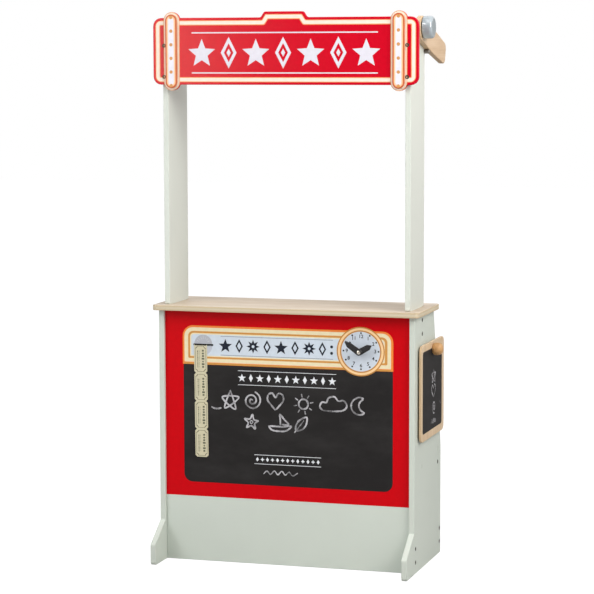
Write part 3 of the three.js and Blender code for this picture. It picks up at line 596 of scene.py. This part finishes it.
# the black film is a printed line along the slot's rims and, over most of the opening, painted shade
slot_rim = oblong(slot_x - slot_reach - rim, slot_z - 2.2, slot_x + slot_reach + rim, slot_z + 2.3, 1.6, 1.6)
slot_lips = oblong(slot_x - slot_reach, slot_z - 0.6, slot_x + slot_reach, slot_z - 0.3, 0.15, 0.15)
ink_print("ticket_slot_line_and_painted_shade", [rounded(slot_rim), rounded(slot_lips)], ink_slot_line_and_painted_shade, lap=2)
# the slot's sawn walls are mixed to near black, as painted shade for the slot's dark inside
walls = red_panel.node_tree
red_coat = next(node for node in walls.nodes if node.type == "BSDF_PRINCIPLED")
slot_middle = on_stand(slot_x, front_face, slot_z)
sawing_slack = 1e-4
spot = add_node(walls, "ShaderNodeSeparateXYZ", None,
                {0: add_node(walls, "ShaderNodeTexCoord").outputs["Object"]})
across_slot = add_node(walls, "ShaderNodeMath",
                       {"operation": "COMPARE", 1: slot_middle.x, 2: slot_reach / 1000 + sawing_slack},
                       {0: spot.outputs["X"]})
up_slot = add_node(walls, "ShaderNodeMath",
                   {"operation": "COMPARE", 1: slot_middle.z, 2: slot_half / 1000 + sawing_slack},
                   {0: spot.outputs["Z"]})
in_slot = add_node(walls, "ShaderNodeMath", {"operation": "MULTIPLY"},
                   {0: across_slot.outputs[0], 1: up_slot.outputs[0]})
blackened = add_node(walls, "ShaderNodeMix", {"data_type": "RGBA", 7: paint("15191c")},
                     {0: in_slot.outputs[0], 6: red_coat.inputs["Base Color"].links[0].from_socket})
walls.links.new(blackened.outputs[2], red_coat.inputs["Base Color"])
for i in range(1, 8):
    turn = math.pi * i / 8
    spoke = [(slot_x + reach * math.cos(turn + lean), ray_foot + reach * math.sin(turn + lean))
             for reach, lean in ((10, -0.05), (16, -0.03), (16, 0.03), (10, 0.05))]
    ink_print(f"ticket_disc_ray_{i}", [spoke], ink_disc_line, lap=2)

# Ticket strip: die-cut cream card, notched between the tickets, printed in grey-green. Each ticket carries a
# frame with scooped corners, a row of small blocks and two lines of dashes. It hangs a little askew.

strip_x = -196.5
strip_top = 484.5
strip_bend_z = 483.7
strip_drift = 2.2
ticket_length = 62.5
ticket_count = 4
ticket_face = 6.6
ticket_film = 0.05


def hang(x, z):
    return x + strip_drift * max(0, strip_bend_z - z) / (ticket_count * ticket_length), z


card, card_tree, card_place, card_coat = surface("uncoated_cream_card", {"Roughness": 0.82})
# flecks of fibre, drawn at 3 mm so that they show, make the card a little cloudy
card_fibre = add_node(card_tree, "ShaderNodeTexNoise", {"Scale": 1000 / 3, "Detail": 5.0},
                      {"Vector": card_place})
card_tone = add_node(card_tree, "ShaderNodeMix",
                     {"data_type": "RGBA", 6: paint("d2ccb0"), 7: paint("c1ba99")},
                     {0: card_fibre.outputs["Fac"]})
card_tree.links.new(card_tone.outputs[2], card_coat.inputs["Base Color"])
card_bump = add_node(card_tree, "ShaderNodeBump", {"Strength": 0.4, "Distance": 0.00008},
                     {"Height": card_fibre.outputs["Fac"]})
card_tree.links.new(card_bump.outputs[0], card_coat.inputs["Normal"])
dress(solids["ticket_strip"], card)
ink_ticket = varnished_print("grey_green_ticket_ink", "626250", gloss=0.6)


def scooped(left, bottom, right_end, top, scoop):
    outline = []
    for x, z, start in ((right_end, top, -math.pi / 2), (left, top, 0), (left, bottom, math.pi / 2),
                        (right_end, bottom, math.pi)):
        outline += disc(x, z, scoop, start, -math.pi / 2, 5)
    return outline


# a black band printed across the strip's top, where it leaves the slot, is painted shade from the slot
entry_shade = oblong(strip_x - 13.4, strip_top - 1.6, strip_x + 13.4, strip_top - 0.1)
ink_print("ticket_entry_painted_shade", [rounded(entry_shade)], ink_slot_line_and_painted_shade, face=ticket_face, film=ticket_film)
block_x = strip_x + 5.6
for ticket in range(ticket_count):
    top = strip_top - ticket * ticket_length
    shapes = [scooped(strip_x - half, top - low, strip_x + half, top - high, scoop)
              for half, low, high, scoop in ((12.6, 59.8, 2.9, 4.4), (11.8, 59, 3.7, 4.8))]
    for block in range(7):
        z = top - 11 - block * 6
        wide = 3.1 if block % 2 else 2.2
        shapes.append(lozenge(block_x, z - 2.3, wide, 2.5) if block % 3 == 1
                      else rounded(oblong(block_x - wide, z - 4, block_x + wide, z)))
    for dash in range(9):
        z = top - 13 - dash * 4.4
        long = 3.4 - 0.5 * (dash % 3)
        for left, right_end, less in ((-7.6, -5.6, 0), (-3.2, -2.4, 0.6)):
            shapes.append(rounded(oblong(strip_x + left, z - long + less, strip_x + right_end, z)))
    ink_print(f"ticket_{ticket + 1}_print", shapes, ink_ticket, face=ticket_face, bend=hang, film=ticket_film)

# Chalkboard: matt black paint screened on the lower part of the front panel, with a faint cloud of wiped
# chalk. Two pairs of rules and two rows of small shapes are screened over it in white ink.


def chalkboard_paint(name, hex_code, dust_hex):
    finish, tree, place, coat = surface(name, {"IOR": 1.45, "Roughness": 0.66, "Specular IOR Level": 0.3})
    # wiped dust lies in slanting smears, about 140 mm long and 60 mm apart
    wipe = add_node(tree, "ShaderNodeMapping", {"Scale": (7, 7, 16), "Rotation": (0, 0.5, 0)},
                    {"Vector": place})
    cloud = add_node(tree, "ShaderNodeTexNoise", {"Scale": 1.0, "Detail": 6.0, "Roughness": 0.65},
                     {"Vector": wipe.outputs[0]})
    dust = add_node(tree, "ShaderNodeMapRange",
                    {"From Min": 0.42, "From Max": 0.8, "To Min": 0.0, "To Max": 0.06},
                    {"Value": cloud.outputs["Fac"]})
    tone = add_node(tree, "ShaderNodeMix", {"data_type": "RGBA", 6: paint(hex_code), 7: paint(dust_hex)},
                    {0: dust.outputs[0]})
    tree.links.new(tone.outputs[2], coat.inputs["Base Color"])
    # the paint's tooth, drawn at 2.5 mm, coarser than real, keeps it matt
    tooth = add_node(tree, "ShaderNodeTexNoise", {"Scale": 1000 / 2.5, "Detail": 3.0},
                     {"Vector": place})
    bump = add_node(tree, "ShaderNodeBump", {"Strength": 0.4, "Distance": 0.0001},
                    {"Height": tooth.outputs["Fac"]})
    tree.links.new(bump.outputs[0], coat.inputs["Normal"])
    return finish


chalkboard = chalkboard_paint("matt_black_chalkboard_paint", "171516", "8a8886")
ink_print("chalkboard_field", [rounded(oblong(-236.5, 177.7, 241, 440.5, 19, 0))], chalkboard)
ink_white = varnished_print("white_screen_ink", "dfe2e6")
for name, left, right_end, z in (("upper_rule_top", -110, 114, 430), ("upper_rule_bottom", -110, 114, 399),
                                 ("lower_rule_top", -73, 80, 245), ("lower_rule_bottom", -73, 80, 225)):
    ink_print(f"chalkboard_{name}", [bar(left, right_end, z, 0.55)], ink_white, lap=1)
for i in range(11):
    x = -101 + i * 20.6
    shape = star(x, 414, radius=9.5) if i % 2 == 0 else lozenge(x, 414.5, half_width=4.6, half_height=9)
    ink_print(f"chalkboard_upper_shape_{i + 1}", [shape], ink_white, lap=1)
for i in range(13):
    x = -66 + i * 11.6
    shape = (lozenge(x, 235, half_width=3.4, half_height=5) if i % 2 == 0
             else star(x, 235, radius=4.6, waist=0.5, points=4))
    ink_print(f"chalkboard_lower_shape_{i + 1}", [shape], ink_white, lap=1)

# Chalk drawings: a child's doodles in white chalk, a worn grainy line 2 to 4 mm wide that thins out as the
# stick lifts. Each stroke is a low ridge of dust on the board.


def chalk_dust(name, chalk_hex, board_hex):
    finish, tree, place, coat = surface(name, {"Roughness": 0.95})
    # chalk catches on the tooth, drawn at 2.2 mm, and lies thicker where the hand pressed, every 22 mm or so
    tooth = add_node(tree, "ShaderNodeTexNoise", {"Scale": 1000 / 2.2, "Detail": 4.0, "Roughness": 0.75},
                     {"Vector": place})
    press = add_node(tree, "ShaderNodeTexNoise", {"Scale": 1000 / 22, "Detail": 1.0}, {"Vector": place})
    both = add_node(tree, "ShaderNodeMath", {"operation": "ADD"},
                    {0: tooth.outputs["Fac"], 1: press.outputs["Fac"]})
    held = add_node(tree, "ShaderNodeMapRange",
                    {"From Min": 0.78, "From Max": 1.12, "To Min": 0.12, "To Max": 0.92},
                    {"Value": both.outputs[0]})
    tone = add_node(tree, "ShaderNodeMix", {"data_type": "RGBA", 6: paint(board_hex), 7: paint(chalk_hex)},
                    {0: held.outputs[0]})
    tree.links.new(tone.outputs[2], coat.inputs["Base Color"])
    return finish


white_chalk = chalk_dust("white_chalk_on_board", "c3c2c6", "2c2b2b")
stroke_numbers = itertools.count(1)
wide_chalk = 3.6
thin_chalk = 2.4


def smooth_path(points, steps=7):
    path = []
    for i in range(len(points) - 1):
        p0 = points[max(i - 1, 0)]
        p1 = points[i]
        p2 = points[i + 1]
        p3 = points[min(i + 2, len(points) - 1)]
        for step in range(steps):
            t = step / steps
            path.append(tuple(0.5 * (2 * p1[k] + (p2[k] - p0[k]) * t
                                     + (2 * p0[k] - 5 * p1[k] + 4 * p2[k] - p3[k]) * t * t
                                     + (3 * p1[k] - p0[k] - 3 * p2[k] + p3[k]) * t ** 3) for k in (0, 1)))
    path.append(tuple(points[-1]))
    return path


def chalk_line(name, points, width, face=front_face - ink_film, side="front", body="stand"):
    stroke = next(stroke_numbers)
    # neighbouring strokes lie at different heights, so that they don't share a surface where they cross
    crown = 0.06 + 0.012 * (stroke % 12)
    brim = 0.02
    path = smooth_path(points)
    work = bmesh.new()
    rows = []
    for i, (x, z) in enumerate(path):
        run = (Vector(path[min(i + 1, len(path) - 1)]) - Vector(path[max(i - 1, 0)])).normalized()
        across = Vector((-run.y, run.x))
        shake = noise.noise(Vector((x * 0.21, z * 0.21, stroke * 1.7)))
        ends = min(1.0, 0.45 + 0.35 * min(i, len(path) - 1 - i))
        half = width / 2 * (1 + 0.35 * shake) * ends
        row = []
        for share, lift in ((-1, brim), (0, crown), (1, brim)):
            spot = Vector((x, z)) + across * half * share
            place = (on_stand(spot.x, face - lift, spot.y) if side == "front"
                     else on_stand(face + lift, spot.x, spot.y))
            row.append(work.verts.new(place))
        rows.append(row)
    for low, high in zip(rows, rows[1:]):
        for k in (0, 1):
            work.faces.new((low[k], low[k + 1], high[k + 1], high[k]))
    bmesh.ops.recalc_face_normals(work, faces=work.faces)
    work.normal_update()
    work.faces.ensure_lookup_table()
    outward = Vector((0, -1, 0)) if side == "front" else Vector((1, 0, 0))
    if work.faces[0].normal.dot(outward) < 0:
        bmesh.ops.reverse_faces(work, faces=work.faces)
    return add_piece(name, work, [white_chalk], body)


def looped(points):
    return points + [points[0]]


def ring(x, z, radius, turns):
    return looped([(x + radius * math.cos(turn), z + radius * math.sin(turn)) for turn in turns])


def spiral(x, z, radius, turns, steps=22):
    return [(x + radius * i / steps * math.cos(turns * 2 * math.pi * i / steps),
             z + radius * i / steps * math.sin(turns * 2 * math.pi * i / steps)) for i in range(1, steps + 1)]


sun_x, sun_z = 40, 362
flower_x, flower_z = -79, 317
doodles = {
    "swing_line": [(-172, 348), (-165, 344.5), (-157, 344), (-149, 346)],
    "star": looped([(-128, 386), (-141, 346), (-108, 371), (-147, 370), (-116, 344)]),
    "spiral": spiral(-78, 365, 21, 2.2),
    "heart": [(-24, 346), (-33, 356), (-42, 368), (-40, 380), (-31, 383), (-24, 374), (-17, 383), (-8, 380),
              (-6, 368), (-15, 356), (-23, 347)],
    "sun": ring(sun_x, sun_z, 11, (0, 0.9, 1.8, 2.7, 3.6, 4.5, 5.4)),
    "cloud": looped([(84, 350), (77, 358), (82, 368), (92, 368), (97, 378), (110, 381), (119, 372),
                     (131, 373), (138, 362), (130, 352), (108, 349)]),
    "moon": [(176, 379), (166, 382), (155, 377), (149, 369), (148, 360), (152, 351), (160, 345), (169, 344),
             (177, 348), (169, 354), (165, 363), (168, 372), (175, 378)],
    "flower": looped(star(flower_x, flower_z, radius=17, waist=8 / 17, turn=0.2)),
    "flower_heart": ring(flower_x, flower_z, 3.6, (0.3, 1.7, 3.1, 4.6)),
    "boat": [(-40, 311), (-34, 303), (-24, 300), (-4, 300), (6, 305), (12, 312), (-8, 310), (-38, 310.5)],
    "boat_sail": [(-13, 313), (-13, 324), (-14, 337), (-4, 326), (6, 315), (-10, 315)],
    "leaf": [(22, 302), (23, 314), (31, 326), (47, 333), (46, 317), (37, 306), (24, 302)],
    "leaf_vein": [(19, 298), (28, 309), (41, 326)],
    "ripple": [(-52, 203), (-44, 210), (-36, 203), (-27, 211), (-19, 203), (-10, 211), (-2, 203), (7, 210),
               (15, 202), (27, 209)],
}
for name, points in doodles.items():
    chalk_line(f"chalk_{name}", points,
               thin_chalk if name in ("ripple", "leaf_vein", "flower_heart") else wide_chalk)
for i in range(8):
    turn = math.pi / 4 * i + 0.2
    sun_ray = [(sun_x + reach * math.cos(turn), sun_z + reach * math.sin(turn)) for reach in (15, 19, 23)]
    chalk_line(f"chalk_sun_ray_{i + 1}", sun_ray, 2.6)

# Header sign: MDF routed to its outline and printed in a brighter red than the panel, with a cream band
# between thin orange lines that follows the edge and the raised crest, two white rules and white shapes.

sign_face = -2
sign_bottom = 1055
sign_top = 1199.5
crest_top = 1212
sign_middle = 1124
dress(solids["header_sign"], varnished_print("red_print_varnished_sign", "ca0020", gloss=0.2, shine=0.14))
sign_edge = [(-298, sign_bottom, 18), (298, sign_bottom, 18), (298, sign_top, 18), (52, sign_top, 6),
             (44, crest_top, 6), (-44, crest_top, 6), (-52, sign_top, 6), (-298, sign_top, 18)]
ink_salmon = varnished_print("salmon_orange_screen_ink", "eb9a66")
ink_sign_cream = varnished_print("pale_cream_sign_ink", "f0e0cf")
for name, outer, inner, ink in (("salmon_outer_line", 5.7, 7.3, ink_salmon),
                                ("cream_band", 7.3, 14.7, ink_sign_cream),
                                ("salmon_inner_line", 14.7, 16.5, ink_salmon)):
    ink_print(f"sign_{name}", band(sign_edge, outer, inner, least=2.5, hollow=5), ink, face=sign_face)
ink_sign_white = varnished_print("sign_white_screen_ink", "dad8e2")
for name, z in (("sign_rule_top", 1167), ("sign_rule_bottom", 1080.5)):
    ink_print(name, [bar(-209, 209, z, 1.3)], ink_sign_white, face=sign_face)
for i in range(7):
    x = -186 + i * 61.6
    if i % 2 == 0:
        shapes = [star(x, sign_middle - 2, radius=32, waist=0.44)]
    else:
        outline = lozenge(x, sign_middle, half_width=18, half_height=34)
        shapes = [outline, frame_of(outline, x, sign_middle, 0.6), frame_of(outline, x, sign_middle, 0.26)]
    ink_print(f"sign_shape_{i + 1}", shapes, ink_sign_white, face=sign_face)

# Bulb columns: a cream strip with tan outlines printed across the sign, and on it a raised round-ended
# strip of 5 mm board with brown edges and six orange dots for bulbs.

strip_face = -7
top_bulb_z = 1200.4
bulb_pitch = 29.45
ink_tan = varnished_print("tan_screen_ink", "dd9a68")
ink_strip_brown = varnished_print("brown_orange_strip_ink", "bb5630")
ink_strip_peach = varnished_print("peach_strip_ink", "f3cba3")
ink_strip_white = varnished_print("blue_white_screen_ink", "e3e1ec")
ink_bulb = varnished_print("bulb_orange_screen_ink", "cd9256")


def column(x, width, bottom, top):
    return oblong(x - width / 2, bottom, x + width / 2, top, width / 2, width / 2)


strip_board = lacquered_wood("brown_stained_strip_edges", "dc9a70", "c8835a", along=2)
for hand, x in (("left", -255), ("right", 255)):
    under = column(x, 37, 1042.3, 1212.2)
    over = column(x, 27, 1047.3, 1207.2)
    ink_print(f"{hand}_column_tan_line", band(under, 0.1, 1.5), ink_tan, face=sign_face, lap=2)
    ink_print(f"{hand}_column_cream", [rounded(inset(under, 1.5), 12)], ink_sign_cream, face=sign_face, lap=2)
    dress(solids[f"{hand}_bulb_strip"], strip_board)
    for name, outer, inner, ink in (("brown_line", 0.6, 3, ink_strip_brown),
                                    ("salmon_line", 3, 4.4, ink_salmon),
                                    ("peach", 4.4, 7.2, ink_strip_peach)):
        ink_print(f"{hand}_strip_{name}", band(over, outer, inner), ink, face=strip_face)
    ink_print(f"{hand}_strip_white", [rounded(inset(over, 7.2), 12)], ink_strip_white, face=strip_face)
    for i in range(6):
        bulb = disc(x, top_bulb_z - i * bulb_pitch, radius=3.7, steps=32)
        ink_print(f"{hand}_bulb_{i + 1}", [bulb], ink_bulb, face=strip_face, lap=1)

# Hanging slate: a square of birch plywood with a black chalk field printed on its outer side; it swings on
# a turned beech peg.

slate_low, slate_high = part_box("hanging_slate")
slate_face = (slate_high[0] - stand_middle) * 1000
dress(solids["hanging_slate"],
      lacquered_wood("lacquered_birch_plywood_slate", "dac3a4", "c6aa85", along=2,
                     plies=(0, slate_low[0], 1.5, "dac3a4", "c2a078")))
slate_field = oblong(36.5, 301, 214, 480.5, 7, 7)
slate_black = chalkboard_paint("matt_black_slate_paint", "151211", "7e7b7d")
ink_print("slate_chalk_field", [rounded(slate_field)], slate_black, face=slate_face, side="right",
          body="slate")
slate_doodles = {
    "star": looped([(138, 432), (124, 404), (156, 422), (120, 422), (151, 403)]),
    "heart": [(136, 370), (122, 382), (118, 391), (127, 398), (136, 390), (145, 398), (155, 391), (151, 382),
              (137, 371)],
    "spiral": spiral(141, 348, 15, 1.8),
    "ripple": [(114, 314), (123, 322), (132, 313), (141, 322), (150, 313), (158, 320)],
    "dot": [(197, 353), (199, 350), (201, 347)],
}
for name, points in slate_doodles.items():
    chalk_line(f"slate_{name}", points, 2.5, face=slate_face + ink_film, side="right", body="slate")
dress(solids["slate_peg"], lacquered_wood("lacquered_turned_beech", "cfa26c", "b78955", along=0))

# Side arm: a slat of solid beech, lacquered, with a turned drum painted gloss grey on it, which turns on a
# bolt. The drum's enamel is clear and wet-looking on its round side; its flat end is rougher and painted a
# darker grey, as painted shade.

dress(solids["side_arm"], lacquered_wood("lacquered_solid_beech", "d2b592", "c1a27d", along=1))


def enamel(name, hex_code, rough, clear_coat):
    finish, tree, place, coat = surface(name, {"Base Color": paint(hex_code), "IOR": 1.5, **clear_coat})
    # brushed and dipped paint, with waves about 4 mm across
    peel = add_node(tree, "ShaderNodeTexNoise", {"Scale": 1000 / 4, "Detail": 2.0}, {"Vector": place})
    sheen = add_node(tree, "ShaderNodeMapRange", {"To Min": rough - 0.05, "To Max": rough + 0.08},
                     {"Value": peel.outputs["Fac"]})
    tree.links.new(sheen.outputs[0], coat.inputs["Roughness"])
    bump = add_node(tree, "ShaderNodeBump", {"Strength": 0.3, "Distance": 0.0001},
                    {"Height": peel.outputs["Fac"]})
    tree.links.new(bump.outputs[0], coat.inputs["Normal"])
    return finish


def skin(work, loops, smooth=False):
    for low, high in zip(loops, loops[1:]):
        for k in range(len(low)):
            after = (k + 1) % len(low)
            work.faces.new((low[k], low[after], high[after], high[k])).smooth = smooth
    work.faces.new(loops[0][::-1])
    last = work.faces.new(loops[-1])
    bmesh.ops.recalc_face_normals(work, faces=work.faces)
    return last


drum_low, drum_high = (Vector(corner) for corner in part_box("arm_drum"))
drum_middle = (drum_low + drum_high) / 2
drum_length = (drum_high.x - drum_low.x) * 1000
drum_radius = 24.3
drum_round = 5.5
drum_sides = 72
drum_profile = [(0, 9), (0, drum_radius - 1.5), (0.5, drum_radius - 0.5), (1.5, drum_radius)]
for i in range(9):
    turn = math.pi / 16 * i
    drum_profile.append((drum_length - drum_round * (1 - math.sin(turn)),
                         drum_radius - drum_round * (1 - math.cos(turn))))
drum_work = bmesh.new()
drum_turns = [2 * math.pi * k / drum_sides for k in range(drum_sides)]
drum_loops = [[drum_work.verts.new((drum_low.x + along / 1000, drum_middle.y + radius / 1000 * math.cos(turn),
                                    drum_middle.z + radius / 1000 * math.sin(turn))) for turn in drum_turns]
              for along, radius in drum_profile]
skin(drum_work, drum_loops, smooth=True).material_index = 1
drum_side = enamel("gloss_grey_enamel_on_wood", "a1adb3", rough=0.3,
                   clear_coat={"Coat Weight": 1.0, "Coat Roughness": 0.08, "Coat IOR": 1.8})
# the flat end's grey is painted darker than the round side's, as painted shade
drum_end_painted_shade = enamel("grey_enamel_end_face_painted_shade", "8a9397", rough=0.55, clear_coat={})
drum = add_piece("turned_arm_drum", drum_work, [drum_side, drum_end_painted_shade], "arm")
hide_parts("arm_drum")

# Screws and pins: blackened steel with a hex socket, and a dull zinc-plated peg under the arm. The upper
# screws at the shelf are hidden under pressed-in plastic caps of the boards' own sage.

black_steel = turned_metal("blackened_steel", "4a4640", rough=0.4)
sage_cap = moulded_abs("sage_plastic_cap", "bfc7bd", rough=0.45)
dress(solids["arm_bolt"], black_steel)
dress(solids["stop_peg"], turned_metal("dull_zinc_plated_peg", "857f79", rough=0.4))
capped = ("shelf_screw", "lip_screw_upper")
head_sides = 24
chamfer = 0.0004
socket_lip = 0.0002
socket_floor = 0.0014


def socket_head(name, centre, out, radius, depth, socket):
    work = bmesh.new()
    round_rings = ((radius, -depth), (radius, -chamfer), (radius - chamfer, 0), (socket * 1.12, 0))
    hex_rings = ((socket, -socket_lip), (socket, -socket_floor))
    side = out.orthogonal().normalized()
    third = out.cross(side)
    loops = []
    for reach, along in round_rings + hex_rings:
        loop = []
        for k in range(head_sides):
            turn = 2 * math.pi * k / head_sides
            flat = 1
            if (reach, along) in hex_rings:
                flat = math.cos(math.pi / 6) / math.cos((turn % (math.pi / 3)) - math.pi / 6)
            arm = (side * math.cos(turn) + third * math.sin(turn)) * reach * flat
            loop.append(work.verts.new(centre + arm + out * along))
        loops.append(loop)
    skin(work, loops)
    return add_piece(name, work, [black_steel], "stand")


for name, node in solids.items():
    if "screw" not in name:
        continue
    if name.endswith(capped):
        dress(node, sage_cap)
        continue
    low, high = (Vector(corner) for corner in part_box(name))
    middle = (low + high) / 2
    if "sign" in name:
        head = socket_head(f"{name}_head", Vector((middle.x, low.y, middle.z)), Vector((0, -1, 0)),
                           radius=0.0042, depth=0.0017, socket=0.0019)
    else:
        side = 1 if middle.x > stand_middle else -1
        face_x = high.x if side > 0 else low.x
        head = socket_head(f"{name}_head", Vector((face_x, middle.y, middle.z)), Vector((side, 0, 0)),
                           radius=0.0048, depth=0.0025, socket=0.0021)
    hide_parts(name)
